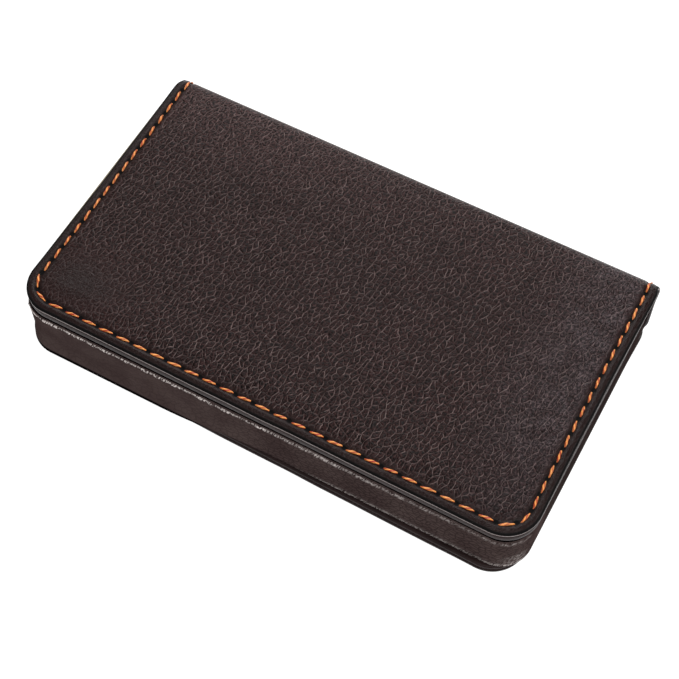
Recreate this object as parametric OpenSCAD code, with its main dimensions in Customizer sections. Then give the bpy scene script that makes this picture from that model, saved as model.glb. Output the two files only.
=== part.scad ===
// Business card case: a book-style leather cover folded round a wrapped tray,
// with a padded lid, a soft spine with two creases, and a magnetic closure.
// Frame: X runs along the creases, +Y points to the spine, +Z is up.
// The origin is at the centre of the underside. All sizes are in millimetres.

/* [Case] */
// Length of the cover, along the creases
case_len = 105; // [98:1:115]
// Depth of the closed case, from the front edge to the back of the spine
case_depth = 60.6; // [58:0.2:66]
// Height of the lid's stitched border
case_height = 17; // [16.6:0.2:22]
// Plan radius of the front corners of the lid and the base
corner_r = 7; // [5:0.5:9]
// Plan radius of the rear corners of the lid and the base
rear_r = 1.2; // [0.8:0.1:2]

/* [Leather and boards] */
// Thickness of the cover leather
skin_t = 0.4; // [0.4:0.05:0.5]
// Thickness of the skived leather that is turned in
hem_t = 0.3; // [0.2:0.05:0.3]
// Width of the turned-in hem
hem_w = 8; // [6:0.5:10]
// Thickness of the thin board behind the cover leather
board_t = 0.4; // [0.3:0.05:0.5]
// Thickness of the linings of the lid and the base
lining_t = 0.4; // [0.3:0.05:0.4]

/* [Tray] */
// Height of the tray's rim
tray_top = 12.5; // [10:0.1:12.6]
// Distance of the tray's side walls from the cover's edge
tray_side_inset = 0.8; // [0.4:0.1:2]
// Distance of the tray's front wall from the cover's edge
tray_front_inset = 0.6; // [0.4:0.1:2]
// Plan radius of the tray's rear corners
tray_rear_r = 4; // [3:0.5:5]
// Thickness of the leather outside the tray's walls
wrap_t = 0.6; // [0.5:0.1:0.8]
// Thickness of the frame's side and rear walls, and of its floor
wall_t = 0.8; // [0.6:0.1:1.2]
// Thickness of the frame's front wall
front_wall_t = 1.2; // [1.2:0.1:1.6]
// Thickness of the leather folded inside the rim, and of the lining below it
fold_t = 0.4; // [0.3:0.1:0.6]
// How far the leather is folded down inside the rim
fold_drop = 4.5; // [3:0.5:6]
// Thickness of the velvet on the tray's floor
floor_lining_t = 0.5; // [0.3:0.1:0.8]

/* [Lid] */
// Height that the padding raises the middle of the lid
crown = 0.4; // [0.3:0.1:0.5]
// Thickness of the stiff board behind the lid's lining
lid_inner_t = 1.5; // [1.2:0.1:1.5]
// Thickness of the card pocket's panel
pocket_t = 0.5; // [0.4:0.1:0.6]
// Height of the card pocket's slot
pocket_gap = 0.3; // [0.3:0.1:0.4]
// Depth of the card pocket, from the front
pocket_depth = 42; // [36:1:46]
// Radius of the thumb notch in the pocket's mouth
notch_r = 10; // [7:0.5:12]

/* [Magnets] */
// Length of each magnet
magnet_len = 20; // [12:1:30]
// Width of each magnet
magnet_w = 4; // [3:0.5:6]
// Distance of each magnet's centre from the middle of the lid
magnet_x = 24; // [18:1:32]
// Height of the steel keeper in the tray's front wall
keeper_h = 5; // [3:0.5:7]

/* [Stitching] */
// Distance between stitches
stitch_pitch = 3.3; // [2.8:0.1:4]
// Length of one stitch on the surface
stitch_len = 2.4; // [1.8:0.1:2.5]
// Width of the thread
thread_w = 0.45; // [0.3:0.05:0.5]
// Distance of the seam from the cover's edge
stitch_inset = 1.9; // [1.8:0.1:3]

/* [Hidden] */
$fn = 64;

leather = "#3a2a27";
dark_leather = "#2b201e";
thread_colour = "#e07a2e";
board_colour = "#a89878";
velvet = "#33201c";
steel = "#b8bcc0";
foam = "#d8d2c4";

cut = 1;                             // how far a cutter runs past the face that it opens
shallow_cut = 0.25;                  // the same, where another layer lies close behind the face
overlap = 0.01;                      // how far joined shapes run into each other
inner_r = 1;                         // smallest plan radius of an inner front corner
half_len = case_len / 2;
front = -case_depth / 2;
back = case_depth / 2;

// Spine: its layers, from the outside in, and the two crease axes
spine_board_t = 0.4;
spine_board_margin = 1.4;
spine_lining_margin = 1.2;
spine_lining_t = 0.4;
crease_y = back - skin_t / 2;
crease_low_z = skin_t / 2 + 0.1;
crease_high_z = case_height - crease_low_z;
crease_gap = 0.1;
spine_inner = back - skin_t - spine_board_t - spine_lining_t;
tongue_end = back - skin_t - crease_gap;
panel_end = spine_inner - 0.4;       // the stiff part of the lid and the base ends here
board_end = panel_end - 0.2;

// Base: heights of its layers
base_board_z = skin_t;
base_hem_z = base_board_z + board_t;
base_lining_z = base_hem_z + hem_t;
base_inner_t = 0.5;
base_top = base_lining_z + base_inner_t + lining_t;

// Lid: heights of its layers
lid_skin_z = case_height - skin_t;
lid_board_z = lid_skin_z - board_t;
lid_under = lid_board_z - hem_t;
inner_board_z = lid_under - lid_inner_t;
lining_z = inner_board_z - lining_t;
pocket_slot_z = lining_z - pocket_gap;
pocket_z = pocket_slot_z - pocket_t;
lining_inset = 0.4;                  // the linings are this much smaller than the cover
pocket_inset = 1.5;
magnet_margin = 2.8;
magnet_t = 1;
pad_inset = 4;
padding_inset = pad_inset + skin_t;  // the foam, inside the leather that covers its edges
pocket_band_w = 4;
lining_end = panel_end - 0.2;
inner_board_end = lining_end - lining_t;

// Tray: its outline and its walls, from the outside in
tray_half = half_len - tray_side_inset;
tray_front = front + tray_front_inset;
tray_back = spine_inner - 0.3;
tray_front_r = corner_r - tray_side_inset;
frame_top = tray_top - wrap_t;
floor_top = base_top + wall_t;
lining_bottom = floor_top + floor_lining_t;
fold_bottom = tray_top - fold_drop;
frame_in = wrap_t + wall_t;
frame_front_in = wrap_t + front_wall_t;
clear_in = frame_in + fold_t;
clear_front_in = frame_front_in + fold_t;
keeper_t = 0.5;
keeper_len = 2 * magnet_x + magnet_len;
keeper_drop = 0.5;                   // the keeper's top edge below the top of the frame

// Seams
seam_half_w = 0.4;
seam_depth = 0.3;
thread_t = 0.25;
pocket_seam_inset = 2;
pocket_thread_t = 0.2;
spine_stitches = 4;

// A plate between two heights. Its front corners have radius rf and its rear corners radius rr.
module plate(half, y0, y1, rf, rr, z0, z1) {
    translate([0, 0, z0]) linear_extrude(z1 - z0) {
        translate([-half, y0 + rf]) square([2 * half, y1 - rr - y0 - rf]);
        translate([-half + rf, y0]) square([2 * (half - rf), rf + overlap]);
        translate([-half + rr, y1 - rr - overlap]) square([2 * (half - rr), rr + overlap]);
        for (side = [-1, 1]) {
            translate([side * (half - rf), y0 + rf]) circle(rf);
            translate([side * (half - rr), y1 - rr]) circle(rr);
        }
    }
}

// The outline of the lid or the base, drawn in by inset on the front and the sides.
module cover_plate(inset, y1, z0, z1) {
    plate(half_len - inset, front + inset, y1, max(corner_r - inset, inner_r), rear_r, z0, z1);
}

// The outline of the tray, drawn in by a side and a front inset.
module tray_plate(side_in, front_in, z0, z1) {
    plate(tray_half - side_in, tray_front + front_in, tray_back - side_in,
          tray_front_r - side_in, tray_rear_r - side_in, z0, z1);
}

// A channel along the seam of the lid or the base.
module seam_channel(z0, z1) {
    difference() {
        cover_plate(stitch_inset - seam_half_w, back + cut, z0, z1);
        cover_plate(stitch_inset + seam_half_w, back + 2 * cut, z0 - cut, z1 + cut);
    }
}

// A point and heading at distance s along a seam: down the left side, along the front, up the right.
function seam_side(y1, y0, r) = y1 - y0 - r;
function seam_arc(r) = PI * r / 2;
function seam_front(half, r) = 2 * (half - r);
function seam_length(half, y0, y1, r) =
    2 * seam_side(y1, y0, r) + 2 * seam_arc(r) + seam_front(half, r);
function seam_point(s, half, y0, y1, r) =
    let (a = seam_side(y1, y0, r), b = a + seam_arc(r))
    let (c = b + seam_front(half, r), d = c + seam_arc(r))
    s < a ? [-half, y1 - s, -90] :
    s < b ? let (t = (s - a) / r * 180 / PI)
            [-half + r - r * cos(t), y0 + r - r * sin(t), -90 + t] :
    s < c ? [-half + r + s - b, y0, 0] :
    s < d ? let (t = (s - c) / r * 180 / PI)
            [half - r + r * sin(t), y0 + r - r * cos(t), t] :
            [half, y0 + r + s - d, 90];

// Stitches along a seam, as separate pieces of thread lying between two heights.
module seam(half, y0, y1, r, z0, z1) {
    total = seam_length(half, y0, y1, r);
    count = floor(total / stitch_pitch);
    pitch = total / count;
    for (i = [0 : count - 1]) {
        p = seam_point((i + 0.5) * pitch, half, y0, y1, r);
        translate([p[0], p[1], (z0 + z1) / 2]) rotate(p[2])
            cube([stitch_len, thread_w, z1 - z0], center = true);
    }
}

// The seam of the lid or the base, which runs up to the crease.
module cover_seam(z0, z1) {
    seam(half_len - stitch_inset, front + stitch_inset, tongue_end, corner_r - stitch_inset, z0, z1);
}

// The outer leather of the lid or the base before its cavities are cut, lying on its outer face.
module cover_blank(thickness) {
    cover_plate(0, panel_end, 0, thickness);
    cover_plate(0, tongue_end, 0, skin_t);
}

// Base: the outer leather with its hem and thin board, then the lining with its stiff board
module base_cover() {
    color(leather) difference() {
        cover_blank(base_lining_z);
        cover_plate(skin_t, back + cut, base_board_z, base_hem_z);
        cover_plate(hem_w, back + cut, base_hem_z - shallow_cut, base_lining_z + cut);
        seam_channel(-cut, seam_depth);
    }
}

module base_board() {
    color(board_colour) cover_plate(skin_t, board_end, base_board_z, base_hem_z);
}

module base_lining() {
    color(dark_leather) difference() {
        cover_plate(lining_inset, lining_end, base_lining_z, base_top);
        cover_plate(lining_inset + lining_t, inner_board_end, base_lining_z - cut,
                    base_lining_z + base_inner_t);
    }
}

module base_inner_board() {
    color(board_colour)
        cover_plate(lining_inset + lining_t, inner_board_end, base_lining_z,
                    base_lining_z + base_inner_t);
}

module base_stitching() {
    color(thread_colour) cover_seam(seam_depth - thread_t, seam_depth);
}

// Tray: a moulded frame, leather folded over its rim, velvet inside and a steel keeper
module tray_frame() {
    color("#1c1a19") difference() {
        tray_plate(wrap_t, wrap_t, base_top, frame_top);
        tray_plate(frame_in, frame_front_in, floor_top, tray_top);
        keeper_block(cut);
    }
}

module tray_wrap() {
    color(dark_leather) difference() {
        tray_plate(0, 0, base_top, tray_top);
        tray_plate(wrap_t, wrap_t, base_top - cut, fold_bottom);
        difference() {
            tray_plate(wrap_t, wrap_t, fold_bottom - cut, frame_top);
            tray_plate(frame_in, frame_front_in, fold_bottom - 2 * cut, frame_top + cut);
        }
        tray_plate(clear_in, clear_front_in, base_top, tray_top + cut);
    }
}

module tray_side_lining() {
    color(velvet) difference() {
        tray_plate(frame_in, frame_front_in, lining_bottom, fold_bottom);
        tray_plate(clear_in, clear_front_in, lining_bottom - cut, fold_bottom + cut);
    }
}

module tray_floor_lining() {
    color(velvet) tray_plate(frame_in, frame_front_in, floor_top, lining_bottom);
}

// The keeper's place, a shallow recess in the outside of the front wall
module keeper_block(extra) {
    translate([-keeper_len / 2, tray_front + wrap_t - extra, frame_top - keeper_h - keeper_drop])
        cube([keeper_len, keeper_t + extra, keeper_h]);
}

module tray_keeper() {
    color(steel) keeper_block(0);
}

// Spine: a strip of leather with a round fold on each crease, its board and its lining
module spine_cover() {
    color(leather) difference() {
        union() {
            translate([-half_len, back - skin_t, crease_low_z])
                cube([case_len, skin_t, crease_high_z - crease_low_z]);
            for (z = [crease_low_z, crease_high_z])
                translate([-half_len, crease_y, z]) rotate([0, 90, 0])
                    cylinder(h = case_len, r = skin_t / 2);
        }
        for (side = [-1, 1])
            translate([side * (half_len - stitch_inset) - seam_half_w, back - seam_depth, 0])
                cube([2 * seam_half_w, seam_depth + cut, case_height]);
    }
}

module spine_strip(half, y0, thickness, margin) {
    translate([-half, y0, margin]) cube([2 * half, thickness, case_height - 2 * margin]);
}

module spine_board() {
    color(board_colour) spine_strip(half_len - spine_board_margin, spine_inner + spine_lining_t,
                                   spine_board_t, spine_board_margin);
}

module spine_lining() {
    color(dark_leather) spine_strip(half_len - tray_side_inset, spine_inner, spine_lining_t,
                                     spine_lining_margin);
}

module spine_stitching() {
    color(thread_colour)
        for (side = [-1, 1], i = [0 : spine_stitches - 1])
            translate([side * (half_len - stitch_inset), back - seam_depth + thread_t / 2,
                       case_height / 2 + (i - (spine_stitches - 1) / 2) * stitch_pitch])
                cube([thread_w, thread_t, stitch_len], center = true);
}

// Lid: the outer leather over foam and a thin board, then the lining with its stiff board
module lid_cover() {
    color(leather) difference() {
        union() {
            translate([0, 0, case_height]) mirror([0, 0, 1]) cover_blank(case_height - lid_under);
            cover_plate(pad_inset, panel_end, case_height - overlap, case_height + crown);
        }
        cover_plate(skin_t, back + cut, lid_board_z, lid_skin_z);
        cover_plate(padding_inset, panel_end - pad_inset, lid_skin_z - overlap, lid_skin_z + crown);
        cover_plate(hem_w, back + cut, lid_under - cut, lid_board_z + shallow_cut);
        seam_channel(case_height - seam_depth, case_height + cut);
    }
}

module lid_padding() {
    color(foam) cover_plate(padding_inset, panel_end - pad_inset, lid_skin_z, lid_skin_z + crown);
}

module lid_board() {
    color(board_colour) cover_plate(skin_t, board_end, lid_board_z, lid_skin_z);
}

module magnet_blocks(extra) {
    for (side = [-1, 1])
        translate([side * magnet_x - magnet_len / 2, front + magnet_margin, inner_board_z - extra])
            cube([magnet_len, magnet_w, magnet_t + extra]);
}

module lid_inner_board() {
    color(board_colour) difference() {
        cover_plate(lining_inset + lining_t, inner_board_end, inner_board_z, lid_under);
        magnet_blocks(cut);
    }
}

module lid_magnets() {
    color("#3c3c40") magnet_blocks(0);
}

module lid_lining() {
    color(dark_leather) difference() {
        cover_plate(lining_inset, lining_end, lining_z, lid_under);
        cover_plate(lining_inset + lining_t, inner_board_end, inner_board_z, lid_under + cut);
    }
}

module lid_pocket() {
    mouth = front + pocket_depth;
    color(leather) difference() {
        cover_plate(pocket_inset, mouth, pocket_z, lining_z);
        cover_plate(pocket_inset + pocket_band_w, mouth + 2 * cut, pocket_slot_z, lining_z + cut);
        translate([0, mouth, pocket_z - cut])
            cylinder(h = pocket_t + pocket_gap + 2 * cut, r = notch_r);
    }
}

module lid_stitching() {
    color(thread_colour) cover_seam(case_height - seam_depth, case_height - seam_depth + thread_t);
}

module pocket_stitching() {
    inset = pocket_inset + pocket_seam_inset;
    color(thread_colour)
        seam(half_len - inset, front + inset, front + pocket_depth - rear_r, corner_r - inset,
             pocket_z - pocket_thread_t, pocket_z);
}

base_cover();
base_board();
base_lining();
base_inner_board();
base_stitching();
tray_frame();
tray_wrap();
tray_side_lining();
tray_floor_lining();
tray_keeper();
spine_cover();
spine_board();
spine_lining();
spine_stitching();
lid_cover();
lid_padding();
lid_board();
lid_inner_board();
lid_magnets();
lid_lining();
lid_pocket();
lid_stitching();
pocket_stitching();
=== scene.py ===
"""Looks of the business card case: leather, seams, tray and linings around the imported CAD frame.

Meshes are worked out in millimetres in the row frame (X along the creases, +Y to the spine, +Z up)
and turned into metres when an object is made. Leather carries a UV map of flat distances, so that
its grain has one size everywhere and stays on the leather when the case opens.
"""

import math

import bmesh
import bpy
import numpy as np
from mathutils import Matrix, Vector


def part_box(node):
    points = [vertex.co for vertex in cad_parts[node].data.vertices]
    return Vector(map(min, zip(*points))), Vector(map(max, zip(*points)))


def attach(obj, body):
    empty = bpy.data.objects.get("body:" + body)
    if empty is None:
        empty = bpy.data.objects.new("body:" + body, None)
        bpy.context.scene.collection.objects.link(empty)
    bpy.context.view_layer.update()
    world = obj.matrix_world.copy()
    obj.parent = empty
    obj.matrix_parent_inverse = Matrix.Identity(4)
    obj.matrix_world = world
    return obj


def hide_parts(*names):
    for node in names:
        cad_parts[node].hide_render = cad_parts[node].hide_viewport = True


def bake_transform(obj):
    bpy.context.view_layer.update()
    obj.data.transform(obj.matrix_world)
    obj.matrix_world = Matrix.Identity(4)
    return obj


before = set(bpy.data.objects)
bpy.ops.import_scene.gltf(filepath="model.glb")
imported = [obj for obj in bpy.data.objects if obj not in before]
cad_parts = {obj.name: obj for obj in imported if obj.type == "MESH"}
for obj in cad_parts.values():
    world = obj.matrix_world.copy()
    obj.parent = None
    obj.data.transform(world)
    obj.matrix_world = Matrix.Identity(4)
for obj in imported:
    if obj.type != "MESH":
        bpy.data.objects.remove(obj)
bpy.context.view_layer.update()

MM = 0.001
UV_SPAN = 100.0              # millimetres of leather in one unit of its UV map
GRAIN_MAP = "Leather"
# Attribute with each point's grain amount and its painted light: painted shade under 0, painted highlight
# over 1
GRAIN_AND_LIGHT = "Grain"


def box_mm(node):
    """Lowest and highest corner of a CAD node, in millimetres."""
    low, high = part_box(node)
    return np.array(low) / MM, np.array(high) / MM


lid_low, lid_high = box_mm("lid_cover")
spine_low, spine_high = box_mm("spine_cover")
tray_low, tray_high = box_mm("tray_wrap")
velvet_low, velvet_high = box_mm("tray_floor_lining")
fold_top_z = box_mm("tray_side_lining")[1][2]
lid_lining_low, lid_lining_high = box_mm("lid_lining")
base_lining_low, base_lining_high = box_mm("base_lining")

# Driving sizes of the case, in millimetres
HALF = lid_high[0]
FRONT = lid_low[1]
BACK = spine_high[1]
MIDDLE_Z = (spine_low[2] + spine_high[2]) / 2
TOP_Z = 2 * MIDDLE_Z
CROWN = lid_high[2] - TOP_Z
EDGE_T = TOP_Z - lid_low[2]  # thickness of the lid's leather at its turned edge
CORNER_R = 7.0
SEAM_INSET = 2.05            # from the cover's edge to its seam
SIDE_PITCH = 3.35            # stitches along the sides
FRONT_PITCH = 3.7            # and along the front
STITCH_SHARE = 0.79          # length of a stitch, as a share of the pitch
LID_ROLL = 2.7               # radius at which the leather turns from lid to spine
BASE_ROLL = 1.5              # and from base to spine
SPINE_THIN = 0.6             # thickness of the strip on the spine, against the lid's edge
LID_SHIFT = 0.25             # the lid lies a little to the right of the hidden frame
BASE_SHIFT = -0.5            # and the base with its tray a little to the left
BASE_TURN = 0.012            # the base is glued on a little turned, in radians
TRAY_WIDER = 0.85            # the tray's leather bulges this much past its frame's wrap
TRAY_SHIFT = -0.35
SHOULDER = 1.15              # radius of the tray's rounded rim
SEAM_LINE = 2.3              # height of the light line at the tray's foot
REAR_NARROW = 0.5            # how far the sides draw in where the leather turns to the spine
MIDDLE_SHIFT = (LID_SHIFT + BASE_SHIFT) / 2
SEAM_REAR = BACK - 0.5
SEAM_HALF = HALF - SEAM_INSET
COVER_SEAM = (SEAM_HALF, SEAM_REAR, FRONT + SEAM_INSET, CORNER_R - SEAM_INSET)
LINING_INSET = lid_high[0] - lid_lining_high[0]
STEP = 0.5                   # mesh spacing on the leather
PLATE_STEP = 1.2             # and on plates and linings
TRAY_STEP = 0.17             # and along the pleats of the tray's leather
PLATE_WELD = 0.004           # points this close are merged
THREAD_WELD = 0.0005         # and in the thin thread


# -------------------- small tools

def ease(t):
    """Smooth step from 0 to 1."""
    t = np.clip(t, 0, 1)
    return t * t * (3 - 2 * t)


def bell(distance, width):
    """1 at no distance, falling smoothly to 0 over about twice the width."""
    return np.exp(-(distance / width) ** 2)


def wave(x, y, size, seed):
    """Smooth noise from -1 to 1 that varies over about `size` millimetres."""
    across = 67
    keep_positive = 500
    lattice = np.random.RandomState(seed).rand(across, across)
    gx = np.asarray(x, float) / size + keep_positive
    gy = np.asarray(y, float) / size + keep_positive
    ix = np.floor(gx).astype(int)
    iy = np.floor(gy).astype(int)
    fx = ease(gx - ix)
    fy = ease(gy - iy)

    def at(dx, dy):
        return lattice[(ix + dx) % across, (iy + dy) % across]

    low = at(0, 0) * (1 - fx) + at(1, 0) * fx
    high = at(0, 1) * (1 - fx) + at(1, 1) * fx
    return 2 * (low * (1 - fy) + high * fy) - 1


def distance_to(targets, points):
    """Distance from every point to the nearest of the targets."""
    flat = points.reshape(-1, 2)
    nearest = np.full(len(flat), 1e9)
    for x, y in targets:
        nearest = np.minimum(nearest, (flat[:, 0] - x) ** 2 + (flat[:, 1] - y) ** 2)
    return np.sqrt(nearest).reshape(points.shape[:-1])


def together(*parts):
    """Coordinates that are given one by one, or spread over a grid, as one array of points."""
    return np.stack(np.broadcast_arrays(*parts), -1)


def centre_point(y, z):
    """A point in the case's middle plane, in metres."""
    return Vector((0, y, z)) * MM


def travelled(line):
    """Distance along a line of points, counted from its first."""
    steps = np.hypot(*np.diff(np.asarray(line), axis=0).T)
    return np.concatenate([[0], np.cumsum(steps)])


def even(start, stop, step=STEP):
    """Evenly spaced values that include both ends."""
    count = max(1, int(round(abs(stop - start) / step)))
    return np.linspace(start, stop, count + 1)


class Surface:
    """Collects patches of quads with their leather coordinates and welds them into one mesh."""

    def __init__(self):
        self.points = []
        self.coords = []
        self.grain = []
        self.faces = []
        self.count = 0

    def patch(self, points, coords, grain=None, flip=False, closed=False):
        """Adds a grid of points. Closed joins its last column to its first."""
        rows, columns = points.shape[:2]
        index = np.arange(rows * columns).reshape(rows, columns) + self.count
        right = np.roll(index, -1, 1) if closed else index[:, 1:]
        left = index if closed else index[:, :-1]
        quads = np.stack([left[:-1], right[:-1], right[1:], left[1:]], -1).reshape(-1, 4)
        self.faces.append(quads[:, ::-1] if flip else quads)
        self.points.append(points.reshape(-1, 3))
        self.coords.append(coords.reshape(-1, 2))
        amount = np.ones((rows, columns)) if grain is None else np.broadcast_to(grain, (rows, columns))
        self.grain.append(amount.reshape(-1))
        self.count += rows * columns

    def make(self, name, material, weld=PLATE_WELD):
        """The welded object, in metres, with smooth shading."""
        points = np.concatenate(self.points)
        mesh = bpy.data.meshes.new(name)
        mesh.from_pydata((points * MM).tolist(), [], np.concatenate(self.faces).tolist())
        corners = np.zeros(len(mesh.loops), np.int32)
        mesh.loops.foreach_get("vertex_index", corners)
        layer = mesh.uv_layers.new(name=GRAIN_MAP)
        coords = np.concatenate(self.coords) / UV_SPAN
        layer.data.foreach_set("uv", coords[corners].astype(np.float32).ravel())
        attribute = mesh.attributes.new(GRAIN_AND_LIGHT, "FLOAT", "POINT")
        attribute.data.foreach_set("value", np.concatenate(self.grain).astype(np.float32))
        weld_mesh(mesh, weld * MM)
        return new_object(name, mesh, material)


def weld_mesh(mesh, distance):
    """Merges coincident points and turns every face outwards."""
    work = bmesh.new()
    work.from_mesh(mesh)
    bmesh.ops.remove_doubles(work, verts=work.verts, dist=distance)
    bmesh.ops.dissolve_degenerate(work, edges=work.edges, dist=distance / 10)
    bmesh.ops.recalc_face_normals(work, faces=work.faces)
    for face in work.faces:
        face.smooth = True
    work.to_mesh(mesh)
    work.free()


def new_object(name, data, material=None):
    """A new object in the scene."""
    piece = bpy.data.objects.new(name, data)
    bpy.context.scene.collection.objects.link(piece)
    if material is not None:
        data.materials.append(material)
    return piece


def thicken(piece, thickness):
    """Gives a single surface its thickness, on its inner side, and applies it."""
    shell = piece.modifiers.new("Thickness", "SOLIDIFY")
    shell.thickness = thickness * MM
    shell.offset = -1
    evaluated = piece.evaluated_get(bpy.context.evaluated_depsgraph_get())
    mesh = bpy.data.meshes.new_from_object(evaluated)
    piece.modifiers.clear()
    mesh.set_sharp_from_angle(angle=math.radians(60))
    piece.data = mesh
    return piece


def place(piece, body=None, bend=None, stands_for=()):
    """Puts a piece on its body, or, when it lies over a bend, bakes its place into its mesh, and hides the
    CAD parts it stands for.
    """
    if bend:
        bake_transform(piece)
    else:
        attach(piece, body)
    if stands_for:
        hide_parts(*stands_for)
    return piece


# -------------------- material tools

class Nodes:
    """A short way to build a material's node tree."""

    def __init__(self, name):
        self.material = bpy.data.materials.new(name)
        self.material.use_nodes = True
        self.tree = self.material.node_tree
        self.shader = self.tree.nodes["Principled BSDF"]

    def add(self, kind, inputs=None, **settings):
        node = self.tree.nodes.new(kind)
        for key, value in settings.items():
            setattr(node, key, value)
        for key, value in (inputs or {}).items():
            self.feed(node.inputs[key], value)
        return node

    def feed(self, socket, value):
        if isinstance(value, bpy.types.NodeSocket):
            self.tree.links.new(value, socket)
        else:
            socket.default_value = value

    def finish(self, base, rough, others):
        """Links or sets the shader's inputs and gives the material."""
        for key, value in {"Base Color": base, "Roughness": rough, **others}.items():
            self.feed(self.shader.inputs[key], value)
        return self.material

    def math(self, operation, a, b=0.0):
        return self.add("ShaderNodeMath", {0: a, 1: b}, operation=operation).outputs[0]

    def times(self, first, *others):
        """Product of values."""
        for other in others:
            first = self.math("MULTIPLY", first, other)
        return first

    def without(self, value, share=1.0):
        """What is left of 1 after a share of a value is taken off."""
        return self.math("SUBTRACT", 1.0, self.times(value, share))

    def vector(self, operation, a, b):
        return self.add("ShaderNodeVectorMath", {0: a, 1: b}, operation=operation).outputs[0]

    def mapped(self, value, low, high, to_low=0.0, to_high=1.0):
        """A smooth step of a value from one range to another."""
        settings = {"Value": value, "From Min": low, "From Max": high, "To Min": to_low, "To Max": to_high}
        node = self.add("ShaderNodeMapRange", settings, interpolation_type="SMOOTHSTEP")
        return node.outputs["Result"]

    def mix(self, factor, a, b):
        """One colour laid over another."""
        return self.add("ShaderNodeMix", {0: factor, 6: a, 7: b}, data_type="RGBA").outputs[2]

    def noise(self, vector, scale, detail=2.0, rough=0.5, output="Fac"):
        inputs = {"Vector": vector, "Scale": scale, "Detail": detail, "Roughness": rough}
        return self.add("ShaderNodeTexNoise", inputs).outputs[output]

    def blotches(self, vector, scale, detail, low, high, to_low=0.0, to_high=1.0):
        """Noise that is stretched, so that its values from low to high fill the range asked for."""
        return self.mapped(self.noise(vector, scale, detail), low, high, to_low, to_high)

    def bump(self, height, strength, distance):
        inputs = {"Height": height, "Strength": strength, "Distance": distance}
        return self.add("ShaderNodeBump", inputs).outputs["Normal"]

    def parts(self, vector):
        """A vector's X, Y and Z."""
        return self.add("ShaderNodeSeparateXYZ", {0: vector}).outputs

    def mark(self):
        """The mesh's own grain amount, which also carries painted light. Under 0 is painted shade, over 1 is
        a painted highlight and free of grain.
        """
        return self.add("ShaderNodeAttribute", attribute_name=GRAIN_AND_LIGHT).outputs["Fac"]

    def flat_millimetres(self):
        """Flat distances over the leather, in millimetres."""
        where = self.add("ShaderNodeUVMap", uv_map=GRAIN_MAP).outputs["UV"]
        return self.vector("MULTIPLY", where, (UV_SPAN, UV_SPAN, 0.0))

    def object_millimetres(self):
        where = self.add("ShaderNodeTexCoord").outputs["Object"]
        return self.vector("MULTIPLY", where, (1 / MM, 1 / MM, 1 / MM))


def colour(*screen):
    """A linear colour from the red, green and blue of a screen colour, 0 to 255."""
    shares = [value / 255 for value in screen]
    return (*[v / 12.92 if v <= 0.04045 else ((v + 0.055) / 1.055) ** 2.4 for v in shares], 1.0)


COVER_DARK = colour(42, 24, 23)
COVER_LIGHT = colour(50, 30, 29)
COVER_BORDER = colour(36, 24, 23)
# Painted sheen towards the lid's back left, where the light glances off near the roll
BACK_SHEEN = colour(82, 61, 60)
# Painted sheen of the band along the lid's right side
BAND_SHEEN = colour(98, 85, 88)
# Painted shade in the fine creases of the sheen band
BAND_CREASE_SHADE = colour(14, 9, 10)
# Painted shade in the pits of the grain
PIT_SHADE = colour(6, 2, 2)
# Painted highlights along the grain's creases, where their sides catch the light
FINE_CREASE_HIGHLIGHT = colour(92, 70, 68)
LONG_CREASE_HIGHLIGHT = colour(142, 122, 119)
# Painted highlight line along the lower half of the lid's turned edge
EDGE_HIGHLIGHT = colour(146, 134, 132)
# Painted shade in the stitch holes, in the seam's groove and along the top of the turned edge
COVER_SHADE = colour(4, 3, 3)
LINING_DARK = colour(34, 23, 22)
LINING_LIGHT = colour(44, 31, 30)
TRAY_DARK = colour(63, 51, 50)
TRAY_LIGHT = colour(76, 64, 62)
# Painted shade in the creases of the smooth leathers
CREASE_SHADE = colour(16, 10, 10)
SMOOTH_SHADE = colour(8, 6, 6)
# Painted highlight in ticks on the tray's pleats, along its foot and round its front corners
PLEAT_HIGHLIGHT = colour(222, 212, 208)
# Painted shade and highlight of the thread, between and on its twisted plies
THREAD_PLY_SHADE = colour(168, 42, 8)
THREAD_PLY_HIGHLIGHT = colour(255, 168, 80)
THREAD_PALE = colour(255, 180, 100)


def cells(n, where, turn, size, stretch):
    """Net of leather cells, stretched along one direction.

    Gives the distance to the nearest crease, in cell widths, and how far that crease runs lengthwise.
    """
    turned = n.add("ShaderNodeMapping", {"Vector": where, "Rotation": (0, 0, math.radians(-turn))})
    scaled = n.vector("MULTIPLY", turned.outputs[0], (1 / (size * stretch), 1 / size, 1.0))
    aside = 0.06

    def distance(vector):
        net = n.add("ShaderNodeTexVoronoi", {"Vector": vector, "Scale": 1.0, "Randomness": 0.95},
                    feature="DISTANCE_TO_EDGE", voronoi_dimensions="2D")
        return net.outputs["Distance"]

    here = distance(scaled)
    beside = distance(n.vector("ADD", scaled, (0.0, aside, 0.0)))
    slope = n.math("ABSOLUTE", n.math("DIVIDE", n.math("SUBTRACT", beside, here), aside))
    lengthwise = n.mapped(slope, 0.1, 0.9)
    evened = n.times(here, n.math("SUBTRACT", stretch, n.times(lengthwise, stretch - 1)))
    return evened, lengthwise


def cover_tone(n, flat, sheen_band, amount):
    """Brown of the cover's face, with a painted sheen towards the back, a patchy painted sheen in the band
    on the right and a darker border.
    """
    over = n.parts(flat)
    base = n.mix(n.blotches(flat, 0.09, 3.0, 0.3, 0.7), COVER_DARK, COVER_LIGHT)
    # Painted sheen, stronger towards the back and the left
    back_sheen_mask = n.times(n.mapped(over["Y"], 8.0, 26.0), n.mapped(over["X"], -40.0, 20.0, 1.0, 0.25), 0.7)
    base = n.mix(back_sheen_mask, base, BACK_SHEEN)
    # Painted sheen in patches over the band on the right, stronger towards the back
    patch = n.times(sheen_band, n.mapped(over["Y"], -26.0, -4.0, 0.35, 1.0),
                    n.blotches(flat, 0.35, 2.0, 0.3, 0.7, 0.2, 0.7), amount)
    base = n.mix(patch, base, BAND_SHEEN)
    return n.mix(n.mapped(amount, 0.1, 0.6, 1.0, 0.0), base, COVER_BORDER)


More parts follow.
